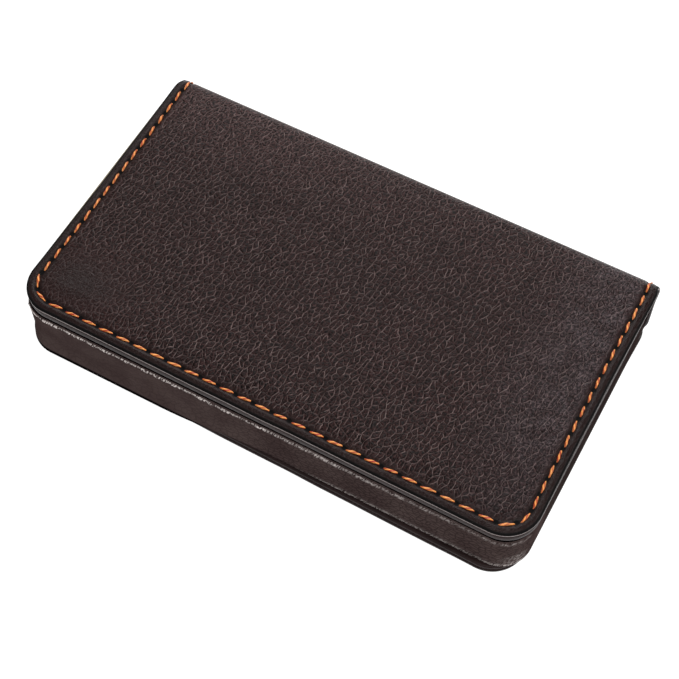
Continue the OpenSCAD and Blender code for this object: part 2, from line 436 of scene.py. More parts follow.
def cover_creases(n, base, flat, sheen_band, amount, long, fine, pits):
    """Painted shade in the pits and painted highlights along the creases, over a tone. In the sheen band the
    fine creases take painted shade instead.
    """
    long_net, long_run = long
    fine_net, fine_run = fine
    thin = n.mapped(fine_net, 0.01, 0.11, 1.0, 0.0)
    # Painted shade in the fine creases where the sheen band is
    base = n.mix(n.times(thin, n.times(sheen_band, amount), 0.85), base, BAND_CREASE_SHADE)
    # Painted shade in the pits, weaker on the border and in the sheen band
    pit_mask = n.times(n.mapped(pits, 0.48, 0.545, 1.0, 0.0), n.mapped(amount, 0.0, 1.0, 0.2, 1.0),
                    n.without(sheen_band, 0.2), 0.95)
    base = n.mix(pit_mask, base, PIT_SHADE)
    # Painted highlight along the fine creases, kept out of the sheen band
    weak = n.times(amount, n.mapped(fine_run, 0.0, 1.0, 0.2, 0.6))
    base = n.mix(n.times(thin, weak, n.without(sheen_band), 0.6), base, FINE_CREASE_HIGHLIGHT)
    # Painted highlight along the long creases, in patches
    patchy = n.blotches(flat, 0.8, 3.0, 0.36, 0.6, 0.15, 1.0)
    strong = n.times(patchy, amount, n.mapped(long_run, 0.0, 1.0, 0.35, 1.0))
    line = n.times(n.mapped(long_net, 0.01, 0.085, 1.0, 0.0), strong, n.without(sheen_band, 0.3), 0.85)
    return n.mix(line, base, LONG_CREASE_HIGHLIGHT)


def pebbled_leather():
    """Dark brown pebbled leather of the outer cover, with painted highlights along its fine creases and
    painted shade in its pits.
    """
    n = Nodes("pebbled_leather")
    flat = n.flat_millimetres()
    drift = n.vector("SUBTRACT", n.noise(flat, 0.5, output="Color"), (0.5, 0.5, 0.5))
    where = n.vector("ADD", flat, n.vector("MULTIPLY", drift, (1.1, 1.1, 0.0)))
    mark = n.mark()
    amount = n.times(n.math("MAXIMUM", mark, 0.0), n.mapped(mark, 1.1, 1.3, 1.0, 0.0))
    # The band along the right side: glossier, with a painted sheen and painted shade in its fine creases
    sheen_band = n.mapped(n.parts(flat)["X"], 28.0, 48.0)
    long = cells(n, where, turn=84.0, size=1.0, stretch=1.6)
    fine = cells(n, where, turn=70.0, size=0.66, stretch=1.6)
    pits = n.noise(where, 2.2, 3.0, 0.6)
    base = cover_tone(n, flat, sheen_band, amount)
    base = cover_creases(n, base, flat, sheen_band, amount, long, fine, pits)
    # Painted highlight line on the lower half of the turned edge
    base = n.mix(n.mapped(mark, 1.15, 1.6), base, EDGE_HIGHLIGHT)
    # Painted shade where the mark is under 0, made rougher too
    shade_mask = n.mapped(mark, -0.7, 0.05, 1.0, 0.0)
    base = n.mix(shade_mask, base, COVER_SHADE)
    pillow = n.times(n.mapped(long[0], 0.0, 0.3), amount)
    small = n.times(n.mapped(fine[0], 0.0, 0.3), n.times(amount, 0.5))
    height = n.math("ADD", n.math("ADD", pillow, small), n.times(pits, 0.9))
    rough = n.blotches(flat, 0.3, 2.0, 0.3, 0.7, 0.0, 0.08)
    rough = n.math("ADD", rough, n.mapped(amount, 0.1, 0.6, 0.24, 0.34))
    rough = n.math("SUBTRACT", rough, n.times(sheen_band, 0.08))
    rough = n.math("ADD", rough, n.times(shade_mask, 0.5))
    return n.finish(base, rough, {"Normal": n.bump(height, 1.0, 0.00015), "Specular IOR Level": 0.12})


def smooth_leather(name, dark, light, fineness, relief, rough, shine):
    """Smooth or finely grained leather of the linings and the tray, with painted shade in its creases and
    painted highlights in ticks on its pleats.
    """
    n = Nodes(name)
    flat = n.flat_millimetres()
    drift = n.vector("MULTIPLY", n.noise(flat, 0.8, output="Color"), (1.2, 1.2, 0.0))
    mark = n.mark()
    net, _ = cells(n, n.vector("ADD", flat, drift), turn=15.0, size=1.0 / fineness, stretch=1.5)
    crease = n.times(n.without(n.mapped(net, 0.0, 0.22)), n.math("MINIMUM", mark, 1.0))
    speckle = n.noise(flat, 4.0, 3.0)
    height = n.math("SUBTRACT", n.times(speckle, 0.4), crease)
    base = n.mix(n.blotches(flat, 0.12, 3.0, 0.3, 0.7), dark, light)
    # Painted shade in the creases
    base = n.mix(n.times(crease, 0.45), base, CREASE_SHADE)
    # Painted shade where the mark is under 0
    base = n.mix(n.mapped(mark, -0.6, -0.05, 1.0, 0.0), base, SMOOTH_SHADE)
    slanted = n.add("ShaderNodeMapping", {"Vector": flat, "Rotation": (0, 0, 0.4)}).outputs[0]
    run = n.vector("MULTIPLY", slanted, (3.6, 0.9, 0.0))
    # Painted highlight in slanted ticks where the mark is over 1
    tick_highlight = n.times(n.mapped(n.noise(run, 1.0, 2.0, 0.6), 0.42, 0.56), n.mapped(mark, 1.0, 1.7, 0.0, 0.95))
    base = n.mix(tick_highlight, base, PLEAT_HIGHLIGHT)
    return n.finish(base, n.mapped(speckle, 0.3, 0.7, *rough),
                    {"Normal": n.bump(height, 0.7, relief), "Specular IOR Level": shine})


def thread_material():
    """Twisted orange thread, with painted highlights on its plies' turns, painted shade between them and
    fibres that vary the tone.
    """
    n = Nodes("orange_thread")
    where = n.object_millimetres()
    flat = n.parts(n.flat_millimetres())
    # Painted shade and highlight that follow the twist of the plies
    turns = n.math("ADD", n.times(flat["X"], 4.4), n.times(flat["Y"], 8.0))
    ply = n.mapped(n.math("SINE", turns), -0.7, 0.8)
    fibres = n.noise(where, 6.0, 3.0, 0.7)
    tone = n.times(ply, n.mapped(fibres, 0.3, 0.6, 0.45, 1.0))
    base = n.mix(tone, THREAD_PLY_SHADE, THREAD_PLY_HIGHLIGHT)
    base = n.mix(n.times(n.blotches(where, 0.12, 1.0, 0.35, 0.65), 0.25), base, THREAD_PALE)
    relief = n.bump(fibres, 0.6, 0.00006)
    return n.finish(base, 0.4, {"Normal": relief, "Sheen Weight": 0.1, "Sheen Roughness": 0.4})


def velvet_material():
    """Brown velvet with a soft pile that is brushed this way and that."""
    n = Nodes("brown_velvet")
    where = n.object_millimetres()
    pile = n.noise(where, 3.5, 3.0, 0.7)
    base = n.mix(n.blotches(where, 0.12, 2.0, 0.35, 0.65), colour(46, 30, 27), colour(66, 45, 40))
    base = n.mix(n.mapped(pile, 0.3, 0.7, 0.0, 0.5), base, colour(30, 19, 17))
    sheen = {"Sheen Weight": 0.8, "Sheen Roughness": 0.35, "Sheen Tint": colour(170, 130, 115)}
    return n.finish(base, 0.95, {"Normal": n.bump(pile, 0.8, 0.0002), **sheen})


def grainy(name, dark, light, scale, rough, metallic=0.0, relief=0.00003, stretch=(1.0, 1.0, 1.0)):
    """A plain material: board, foam, moulded plastic or metal."""
    n = Nodes(name)
    where = n.vector("MULTIPLY", n.object_millimetres(), stretch)
    speckle = n.noise(where, scale, 3.0)
    base = n.mix(n.mapped(speckle, 0.3, 0.7), dark, light)
    rough = n.mapped(speckle, 0.3, 0.7, rough - 0.08, rough + 0.08)
    return n.finish(base, rough, {"Normal": n.bump(speckle, 0.5, relief), "Metallic": metallic})


cover_leather = pebbled_leather()
lining_leather = smooth_leather("lining_leather", LINING_DARK, LINING_LIGHT, fineness=1.3,
                                relief=0.00004, rough=(0.36, 0.46), shine=0.1)
tray_leather = smooth_leather("tray_leather", TRAY_DARK, TRAY_LIGHT, fineness=1.1,
                              relief=0.00016, rough=(0.42, 0.52), shine=0.0)
thread = thread_material()
velvet = velvet_material()
board = grainy("grey_board", colour(128, 116, 96), colour(150, 138, 116), 1.2, 0.85)
foam = grainy("padding_foam", colour(196, 190, 176), colour(214, 208, 196), 2.5, 0.9, relief=0.0001)
plastic = grainy("black_plastic", colour(20, 19, 18), colour(28, 27, 26), 2.0, 0.5)
steel = grainy("rolled_steel", colour(150, 152, 156), colour(176, 178, 182), 1.0, 0.35, 1.0,
               stretch=(0.1, 1.0, 1.0))
nickel = grainy("nickel_plate", colour(150, 150, 152), colour(178, 178, 180), 0.6, 0.25, 1.0)


# -------------------- the covers

class Fold:
    """The way of the leather from the middle of a panel, round its roll, to the middle of the spine.

    Distances v along it equal y on the flat panel. Heights are measured outwards from the panel's
    outer face, so the same fold serves the lid and, turned over by its sign, the base.
    """

    def __init__(self, roll, sign, face_z, shift, askew):
        self.roll = roll
        self.sign = sign
        self.face_z = face_z
        self.shift = shift
        self.askew = askew
        self.turn = BACK - roll
        self.upright = self.turn + roll * math.pi / 2
        self.end = self.upright + MIDDLE_Z - roll

    def point(self, x, v, height):
        """Position over the fold, as x, y and height."""
        angle = np.clip((v - self.turn) / self.roll, 0, math.pi / 2)
        down = np.maximum(v - self.upright, 0)
        y = np.minimum(v, self.turn) + (self.roll + height) * np.sin(angle)
        w = -self.roll + (self.roll + height) * np.cos(angle) - down
        return together(x, y, w)

    def settle(self, point, x, v):
        """Moves points over the fold into the case, aside, askew and bowed in at the sides."""
        to_middle = ease((v - self.turn) / (self.end - self.turn))
        bow = 0.3 * np.cos(math.pi * np.clip(v, -30, 30) / 60) * (1 - to_middle)
        narrow = REAR_NARROW * bell(v - self.turn - self.roll * 0.7, 1.5)
        point[..., 0] += self.shift + (MIDDLE_SHIFT - self.shift) * to_middle
        point[..., 0] -= np.sign(x) * ease(np.abs(x) / HALF) * (bow + narrow)
        point[..., 0] += self.askew * np.clip(v, FRONT, BACK) * (1 - to_middle)
        point[..., 1] -= self.askew * x * (1 - ease((v - 10) / 18))
        point[..., 2] = self.face_z + self.sign * point[..., 2]
        return point


def seam_place(s, half, rear, front, radius):
    """Position and heading at distance s along a seam: down the left side, along the front, up the right."""
    side = rear - front - radius
    arc = math.pi * radius / 2
    whole = 2 * (side + arc + half - radius)
    if s > whole / 2:
        x, v, heading = seam_place(whole - s, half, rear, front, radius)
        return -x, v, -heading
    if s < side:
        return -half, rear - s, -math.pi / 2
    if s < side + arc:
        turn = (s - side) / radius
        x, v = -half + radius - radius * math.cos(turn), front + radius - radius * math.sin(turn)
        return x, v, turn - math.pi / 2
    return -half + radius + s - side - arc, front, 0.0


def seam_stitches(*seam):
    """Place, heading and length of every stitch, and the place of every hole between them."""
    half, rear, front, radius = seam
    side = rear - front - radius
    bend = math.pi * radius + 2 * (half - radius)
    stitches, holes = [], []
    start = 0.0
    for length, wanted in ((side, SIDE_PITCH), (bend, FRONT_PITCH), (side, SIDE_PITCH)):
        count = round(length / wanted)
        pitch = length / count
        for i in range(count):
            x, v, heading = seam_place(start + (i + 0.5) * pitch, *seam)
            stitches.append((x, v, heading, pitch * STITCH_SHARE))
            holes.append(seam_place(start + i * pitch + 0.001, *seam)[:2])
        start += length
    return stitches, holes


def spine_run(fold):
    """Stitches on the spine's end of a seam, on both sides, as far as the middle."""
    places = np.arange(SEAM_REAR + SIDE_PITCH / 2, fold.end - 0.2, SIDE_PITCH)
    length = SIDE_PITCH * STITCH_SHARE
    return [(side * SEAM_HALF, v, math.pi / 2, length) for side in (-1, 1) for v in places]


def border_height(inset, crown):
    """Height of the cover's outer face at a distance from its edge: rounded border, seam, padding."""
    drop = -0.07 * ease((1.25 - inset) / 0.75)
    groove = -0.22 * bell(inset - SEAM_INSET, 0.42)
    padding = crown * ease((inset - SEAM_INSET - 0.2) / 4.2)
    bead = 0.06 * bell(inset - 1.2, 0.4)
    return drop + groove + padding + bead


def edge_profile():
    """Insets and heights across the cover, from the padding out over the edge to the hem inside."""
    turn_in = 0.5
    top = np.concatenate([np.linspace(CORNER_R, 3.4, 9), np.linspace(3.15, 1.15, 13),
                          np.linspace(0.95, turn_in, 3)])
    angle = np.linspace(0, math.pi, 12)[1:]
    under = np.linspace(turn_in, 6.0, 6)[1:]
    inset = np.concatenate([top, turn_in - turn_in * np.sin(angle), under])
    start = float(border_height(np.array(turn_in), 0))
    half_t = (EDGE_T + start) / 2
    edge = start - half_t + half_t * np.cos(angle)
    fixed = np.concatenate([np.full(len(top), np.nan), edge, np.full(len(under), -EDGE_T)])
    beyond = np.concatenate([np.zeros(len(top)), turn_in + half_t * angle,
                             turn_in + half_t * math.pi + under - turn_in])
    coord_inset = np.where(np.isnan(fixed), inset, turn_in * 2 - beyond)
    return inset, fixed, coord_inset


def cover_grain_and_light(x, v, inset, level, hole, edge_highlit):
    """Grain of a cover and its painted light: full grain on its face, smooth at its border, painted shade in
    the stitch holes, in the seam's groove and along the top of the turned edge.

    The level is the height on the turned edge. The flagged edge carries a painted highlight line on its
    lower half.
    """
    border = 0.12 + 0.88 * ease((inset - SEAM_INSET - 0.3) / 1.6)
    bare = 1 - 0.85 * bell(x + 43, 11) * bell(v + 22, 8)
    upper = level > -0.45 * EDGE_T
    lower = (level < -0.45 * EDGE_T) * (level > -0.8 * EDGE_T) * (inset < 0.4)
    # Painted shade, taken off the grain: in the stitch holes, along the top of the turned edge and in the
    # seam's groove
    dark = 1.6 * hole + 0.9 * bell(inset - 0.15, 0.35) * upper + 0.3 * bell(inset - SEAM_INSET, 0.4)
    # Painted highlight line added on the lower half of a flagged turned edge
    return border * bare - dark + 2.0 * edge_highlit * lower


def cover(name, fold, crown, seed):
    """The outer leather of the lid or the base, with the spine's half that belongs to it."""
    _, holes = seam_stitches(*COVER_SEAM)
    holes = holes + [(x, v - SIDE_PITCH / 2) for x, v, _, _ in spine_run(fold)]
    section = edge_profile()
    corner = FRONT + CORNER_R
    rows = np.concatenate([even(corner, fold.turn), even(fold.turn, fold.upright, 0.25)[1:],
                           even(fold.upright, fold.end, 0.6)[1:]])[:, None]
    inner = even(-HALF + CORNER_R, HALF - CORNER_R)

    def height_at(x, v, inset, fixed, hole):
        """Height of the face, with its seam, its puckers and the unevenness of the padding."""
        fade = 1 - ease((v - fold.turn + 3.5) / 5.0)
        face = border_height(inset, crown * fade) - 0.1 * hole
        face = face + 0.05 * crown / 0.4 * wave(x, v, 9, seed) * ease((inset - 3) / 3) * fade
        thin = 1 - (1 - SPINE_THIN) * ease((v - fold.turn) / (fold.upright - fold.turn))
        return np.where(np.isnan(fixed), face, fixed * thin)

    def add(x, v, inset, fixed, coord_x, coord_v, flip):
        """Adds a patch. Fixed heights are given on the turned edge and the hem only."""
        hole = bell(distance_to(holes, together(x, v)), 0.42)
        point = fold.settle(fold.point(x, v, height_at(x, v, inset, fixed, hole)), x, v)
        point[..., 0] += 0.06 * wave(v, x * 0.02, 7, seed + 1) * ease(np.abs(x) / HALF)
        point[..., 1] += 0.06 * wave(x, v * 0.02, 7, seed + 2) * (1 - ease((v - FRONT) / 8))
        level = np.where(np.isnan(fixed), 0, fixed)
        grain = cover_grain_and_light(x, v, inset, level, hole, fold.sign > 0)
        surface.patch(point, together(coord_x, coord_v), grain, flip != (fold.sign < 0))

    def edges(count):
        """The insets, fixed heights and flat insets across the edge, repeated along it."""
        return [np.broadcast_to(values, (count, len(values))) for values in section]

    surface = Surface()
    face = np.full((len(rows), len(inner)), CORNER_R)
    add(inner, rows, face, face * np.nan, inner, rows, False)
    turn = np.linspace(0, math.pi / 2, 25)[:, None]
    for side in (-1, 1):
        inset, fixed, flat = edges(len(rows))
        add(side * (HALF - inset), rows, inset, fixed, side * (HALF - flat), rows, side < 0)
        inset, fixed, flat = edges(len(turn))
        centre = side * (HALF - CORNER_R)
        around_x, around_v = side * np.cos(turn), -np.sin(turn)
        add(centre + (CORNER_R - inset) * around_x, corner + (CORNER_R - inset) * around_v, inset, fixed,
            centre + (CORNER_R - flat) * around_x, corner + (CORNER_R - flat) * around_v, side > 0)
    inset, fixed, flat = edges(len(inner))
    add(inner[:, None], FRONT + inset, inset, fixed, inner[:, None], FRONT + flat, False)
    return thicken(surface.make(name, cover_leather), 0.32)


def stitch(surface, centre, along, across, up, length, rng):
    """One stitch of two-ply thread that rises from one hole and dips into the next."""
    sides, rings = 10, 15
    thread_radius = 0.24
    u = np.linspace(0, 1, rings)[:, None]
    angle = np.linspace(0, 2 * math.pi, sides, endpoint=False)[None, :]
    slant = 0.15 + 0.04 * rng.randn()
    twist = 2 * math.pi * (1.6 + 0.2 * rng.randn())
    phase = rng.rand() * math.pi
    taper = np.clip(np.sin(math.pi * (0.03 + 0.94 * u)), 0, 1) ** 0.4
    radius = thread_radius * taper * (1 + 0.17 * np.cos(2 * angle - twist * u - phase))
    lift = -0.3 + 0.34 * np.clip(np.sin(math.pi * u), 0, 1) ** 0.35
    middle = (centre + along * (u - 0.5)[..., None] * length * (1 + 0.04 * rng.randn())
              + across * ((u - 0.5) * 2 * slant)[..., None] + up * lift[..., None])
    sideways = across * (radius * np.cos(angle))[..., None]
    point = middle + sideways + up * (radius * 0.9 * np.sin(angle))[..., None]
    surface.patch(point, together(u * length, angle * 0.25), closed=True)
    for end in (0, -1):
        cap = np.stack([point[end], np.broadcast_to(middle[end], point[end].shape)])
        surface.patch(cap, np.zeros(cap.shape[:2] + (2,)), closed=True, flip=end == 0)


def cover_seam(name, fold, seed):
    """All stitches of the lid's or the base's seam, with those on its half of the spine."""
    rng = np.random.RandomState(seed)
    surface = Surface()
    stitches, _ = seam_stitches(*COVER_SEAM)
    nudge = 0.02
    level = -0.1
    for x, v, heading, length in stitches + spine_run(fold):
        ahead = fold.point(x + nudge * math.cos(heading), v + nudge * math.sin(heading), level)
        centre = fold.settle(fold.point(x, v, level), x, v)
        along = fold.settle(ahead, x, v) - centre
        up = fold.settle(fold.point(x, v, level + nudge), x, v) - centre
        along, up = along / np.linalg.norm(along), up / np.linalg.norm(up)
        stitch(surface, centre, along, np.cross(up, along), up, length, rng)
    return surface.make(name, thread, THREAD_WELD)


lid_fold = Fold(LID_ROLL, 1, TOP_Z, LID_SHIFT, 0.0)
base_fold = Fold(BASE_ROLL, -1, 0.0, BASE_SHIFT, BASE_TURN)


def bend_upper():
    """Where the leather turns from the spine to the lid."""
    return "spine", "lid", centre_point(BACK, TOP_Z - LID_ROLL - 0.4), centre_point(BACK - LID_ROLL, TOP_Z)


def bend_lower():
    """Where the leather turns from the base to the spine."""
    return "base", "spine", centre_point(BACK - BASE_ROLL - 0.6, 0), centre_point(BACK, BASE_ROLL + 0.6)


lid_cover = cover("lid_cover_leather", lid_fold, CROWN, seed=11)
place(lid_cover, bend=bend_upper(), stands_for=("lid_cover", "spine_cover"))
base_cover = cover("base_cover_leather", base_fold, 0.0, seed=23)
place(base_cover, bend=bend_lower(), stands_for=("base_cover",))
lid_seam = cover_seam("lid_stitches", lid_fold, seed=5)
place(lid_seam, bend=bend_upper(), stands_for=("lid_stitching", "spine_stitching"))
base_seam = cover_seam("base_stitches", base_fold, seed=6)
place(base_seam, bend=bend_lower(), stands_for=("base_stitching",))


# -------------------- plates, tray and linings

def loop(half, front, back, front_r, rear_r, step):
    """A closed outline with round corners, anticlockwise from the middle of the rear edge.

    The number of points doesn't depend on the sizes, so outlines of one family match point by point.
    """
    rear_count = int(HALF / step)
    side_count = int(2 * BACK / step)
    stretches = (
        (rear_count, -half + rear_r, back - rear_r, rear_r, 90),
        (side_count, -half + front_r, front + front_r, front_r, 180),
        (2 * rear_count, half - front_r, front + front_r, front_r, 270),
        (side_count, half - rear_r, back - rear_r, rear_r, 0),
    )
    middle = np.array([0.0, back])
    last = middle
    parts = []
    for count, x, y, radius, start in stretches:
        angle = np.radians(start + np.linspace(0, 90, 15))[:, None]
        arc = np.array([x, y]) + radius * np.hstack([np.cos(angle), np.sin(angle)])
        parts += [np.linspace(last, arc[0], count, endpoint=False), arc[:-1]]
        last = arc[-1]
    parts.append(np.linspace(last, middle, rear_count, endpoint=False))
    return np.concatenate(parts)


class Plan:
    """A plan outline that can be drawn in by an inset."""

    def __init__(self, half, front, back, front_r, rear_r, shift=0.0, step=PLATE_STEP, turn=0.0):
        self.sizes = (half, front, back, front_r, rear_r)
        self.shift = shift
        self.turn = turn
        self.step = step

    def at(self, inset):
        half, front, back, front_r, rear_r = self.sizes
        inset = min(inset, self.middle())
        outline = loop(half - inset, front + inset, back - inset, max(front_r - inset, 0.01),
                       max(rear_r - inset, 0.01), self.step)
        x, y = outline[:, 0].copy(), outline[:, 1].copy()
        outline[:, 0] += self.shift + self.turn * y
        outline[:, 1] -= self.turn * x * (1 - ease((y - 10) / 18))
        return outline

    def middle(self):
        """The largest inset."""
        return (self.sizes[2] - self.sizes[1]) / 2


def lathe(name, plan, profile, material, grain=None, warp=None, around=False):
    """A piece whose section follows a profile of (inset, height) all the way round a plan.

    Its leather runs round the plan if `around` is set, and lies as one flat sheet if not.
    """
    rings = [plan.at(inset) for inset, _ in profile]
    points = np.stack([together(*ring.T, z) for ring, (_, z) in zip(rings, profile)])
    travel = travelled(profile)
    if around:
        coords = together(travelled(rings[0]), travel[:, None])
    else:
        coords = np.stack([plan.at(reach) for reach in profile[0][0] - travel])
    if warp is not None:
        points = warp(points)
    surface = Surface()
    surface.patch(points, coords, grain, closed=True)
    return surface.make(name, material)


def rounded_section(plan, low, high, bead, inner_first="top"):
    """Profile of a plate with a rounded edge: from the middle of one face to the middle of the other."""
    flats = np.linspace(plan.middle(), bead * 1.5, 16)
    angle = np.linspace(0, math.pi, 13)
    centre = (high + low) / 2
    bluntness = 0.8
    edge_in = bead * 0.6 * (1 - np.abs(np.sin(angle)) ** bluntness)
    edge_z = centre + (high - low) / 2 * np.sign(np.cos(angle)) * np.abs(np.cos(angle)) ** bluntness
    edge_in = edge_in * np.where(edge_z > centre, 1.0, 0.55)
    profile = [(i, high) for i in flats] + list(zip(edge_in, edge_z)) + [(i, low) for i in flats[::-1]]
    return profile if inner_first == "top" else profile[::-1]


def lining_plate(body, fold, z_low, z_high, inner_first):
    """A panel's lining, turned over its stiff board."""
    node = body + "_lining"
    low, high = box_mm(node)
    plan = Plan(high[0] + 0.15, low[1] - 0.2, high[1], CORNER_R - LINING_INSET, 1.2,
                fold.shift, turn=fold.askew)
    section = rounded_section(plan, z_low, z_high, 0.9, inner_first)
    piece = lathe(node + "_leather", plan, section, lining_leather, grain=0.5)
    return place(piece, body=body, stands_for=(node,))


lining_plate("lid", lid_fold, lid_lining_low[2], lid_lining_high[2] - 0.02, "bottom")
lining_plate("base", base_fold, base_lining_low[2] + 0.02, base_lining_high[2], "top")


def base_board_panel(node):
    """A stiff board of the base, lying as its leather does."""
    low, high = box_mm(node)
    inset = HALF - high[0]
    plan = Plan(high[0] - 0.15, low[1], high[1], CORNER_R - inset, 1.2, BASE_SHIFT, turn=BASE_TURN)
    piece = lathe(node + "_panel", plan, rounded_section(plan, low[2], high[2], 0.1), board)
    return place(piece, body="base", stands_for=(node,))


base_board_panel("base_board")
base_board_panel("base_inner_board")


def spine_board_panel():
    """The stiff strip of the spine, low enough to stay under the leather when the lid opens."""
    low, high = box_mm("spine_board")
    reach = MIDDLE_Z - LID_ROLL - 0.5
    plan = Plan(high[0] - 1.0, -reach, reach, 1.5, 1.5, MIDDLE_SHIFT)

    def stand(points):
        """Stands the flat strip upright inside the spine."""
        return together(points[..., 0], points[..., 2], MIDDLE_Z - points[..., 1])

    section = rounded_section(plan, low[1], high[1], 0.1)
    piece = lathe("spine_board_panel", plan, section, board, warp=stand)
    return place(piece, body="spine", stands_for=("spine_board",))


spine_board_panel()


def spine_lining_half(name, fold, panel_face, offset):
    """Half of the spine's lining, from under a panel's lining round the crease to the spine's middle."""
    low, high = box_mm("spine_lining")
    inner = low[1] + 0.05
    half = high[0] - 0.3
    radius = 1.1
    tuck = 2.2
    start = inner - radius
    bottom = panel_face - radius
    angle = np.linspace(0, math.pi / 2, 9)[1:]
    flat = together(np.linspace(start - tuck, start, 5), panel_face)
    turn = together(start + radius * np.sin(angle), bottom + radius * np.cos(angle))
    down = together(inner, np.linspace(bottom, -MIDDLE_Z, 9)[1:])
    way = np.concatenate([flat, turn, down])
    x = even(-half, half, PLATE_STEP)
    surface = Surface()
    surface.patch(together(x, way[:, :1], fold.face_z + fold.sign * way[:, 1:]),
                  together(x, travelled(way)[:, None] + offset), 0.6, flip=fold.sign > 0)
    piece = thicken(surface.make(name, lining_leather), 0.3)
    on_spine = centre_point(inner, fold.face_z + fold.sign * (bottom - 0.6))
    on_panel = centre_point(start - 0.4, fold.face_z + fold.sign * panel_face)
    return piece, on_spine, on_panel


upper_lining, upper_spine, upper_panel = spine_lining_half(
    "spine_lining_upper", lid_fold, lid_lining_low[2] - TOP_Z - 0.03, offset=40)
place(upper_lining, bend=("spine", "lid", upper_spine, upper_panel),
      stands_for=("spine_lining",))
lower_lining, lower_spine, lower_panel = spine_lining_half(
    "spine_lining_lower", base_fold, -base_lining_high[2] + 0.35, offset=80)
place(lower_lining, bend=("base", "spine", lower_panel, lower_spine))


def tray_section():
    """Outside of the wall, the shoulder, the rim and the leather folded inside."""
    top = tray_high[2]
    foot = base_lining_high[2] - 0.02
    angle = np.linspace(0, math.pi / 2, 10)
    wall = [(0.0, z) for z in np.linspace(foot, top - SHOULDER, 12)[:-1]]
    round_over = list(zip(SHOULDER * (1 - np.cos(angle)), top - SHOULDER * (1 - np.sin(angle))))
    fold_in = tray_high[0] + TRAY_WIDER + velvet_low[0] + 0.4
    crest = [(1.45, top - 0.02), (fold_in - 0.15, top - 0.12), (fold_in, top - 0.4)]
    inside = [(fold_in, z) for z in np.linspace(top - 0.9, fold_top_z, 6)]
    hidden = [(fold_in - 0.3, fold_top_z), (fold_in - 0.35, top - 1.6), (0.55, top - 1.5), (0.55, foot)]
    return wall + round_over + crest + inside + hidden + [(0.0, foot)]


def pleats_at(along, z):
    """Depth of the gathers in the leather at a place along the rim, and how much they show there."""
    slanted = along + 0.5 * z
    depth = wave(slanted, 0, 0.5, 3) * 0.6 + wave(slanted, 0, 1.1, 4) * 0.5
    loose = 0.7 + 0.3 * ease(wave(along, 0, 14, 9) + 0.6)
    shoulder = bell(z - (tray_high[2] - SHOULDER), 0.65)
    return depth, shoulder * loose


def foot_cover(x, y):
    """How far the wall's leather is drawn down over the base's edge: fully at the front left."""
    return ease((4 - x) / 26) * ease((-8 - y) / 16)


def tray_warp(points):
    """Pleats where the leather is gathered over the shoulder, and a slightly uneven wall."""
    x, y, z = points[..., 0], points[..., 1], points[..., 2]
    ring = points[0, :, :2]
    along = travelled(ring)[None, :]
    tangent = np.roll(ring, -1, 0) - np.roll(ring, 1, 0)
    outward = together(tangent[:, 1], -tangent[:, 0])
    outward /= np.linalg.norm(outward, axis=1)[:, None] + 1e-9
    pleats, showing = pleats_at(along, z)
    push = pleats * showing * 0.24
    bulge = 0.1 * wave(along, z, 8, 21) * ease((z - 2) / 3) * ease((tray_high[2] - z) / 2)
    hug = foot_cover(x, y)
    flare = 0.6 * hug * ease((4.5 - z) / 2.5) + 0.12 * (1 - hug) * bell(z - SEAM_LINE, 0.3)
    moved = points.copy()
    moved[..., :2] += outward[None] * (push + bulge + flare)[..., None]
    moved[..., 2] -= 1.55 * hug * ease((3.6 - z) / 1.6)
    moved[..., 2] += pleats * showing * 0.15
    return moved


def tray_grain_and_light(ring, section):
    """Grain of the tray's leather, with painted highlights on its pleats, along its foot and round its front
    corners, and painted shade inside the rim, at its front left foot and on its right side.
    """
    x, y = ring.T[:, None, :]
    inset, z = np.array(section).T[:, :, None]
    low_wall = (z > 2.5) & (z < 10.5)
    pleats, showing = pleats_at(travelled(ring)[None, :], z)
    # Painted highlight on the crests of the pleats
    crest = (0.7 + 0.3 * ease((pleats + 0.4) / 0.8)) * ease((showing - 0.15) / 0.45)
    # Painted highlight along the foot of the wall, on its right part
    seam_highlight = 0.65 * bell(z - SEAM_LINE, 0.35) * ease((x + 2) / 20)
    fine = (0.35 + 0.65 * ease((x + 30) / 50)) * (1 - 0.5 * ease((z - 11) / 1))
    grain = fine * (1 - crest) + 2.0 * np.maximum(crest, seam_highlight)
    # Painted reflection round the wall's front corners
    corner = bell(x - 50.5, 3.0) * bell(y + 25, 4.5) + 0.6 * bell(x + 51.5, 2.0) * bell(y + 25, 2.5)
    glow = 1 + 0.3 * corner
    grain = np.where((corner > 0.15) & (grain < glow) & low_wall, glow, grain)
    # The painted highlights fade towards the right and up the wall
    faded = 1 - 0.72 * ease((x + 45) / 90) * (z > 6)
    grain = np.where(grain > 1, 1 + (grain - 1) * faded, grain)
    # Painted shade inside the rim, where the lid hangs over it
    rim_shade = ease((z - (tray_high[2] - 0.55)) / 0.4) * (inset < 2.0)
    # Painted shade at the foot, where the leather is drawn down over the base's edge
    foot_shade = ease((2.55 - z) / 0.5) * foot_cover(x, y)
    grain = grain - 2.2 * rim_shade - 1.6 * foot_shade
    # Painted shade on the right side wall
    side = ease((x - 49) / 2.7) * ease((y + 27) / 10)
    return grain * (1 - side) - 0.33 * side


def tray_wrap():
    """The leather round the tray, gathered over its rim."""
    half = tray_high[0]
    plan = Plan(half + TRAY_WIDER, tray_low[1], tray_high[1], CORNER_R - (HALF - half), 4.0,
                TRAY_SHIFT, TRAY_STEP)
    section = tray_section()
    grain = tray_grain_and_light(plan.at(0), section)
    piece = lathe("tray_leather", plan, section, tray_leather, grain, tray_warp, around=True)
    return place(piece, body="base", stands_for=("tray_wrap",))


tray_wrap()


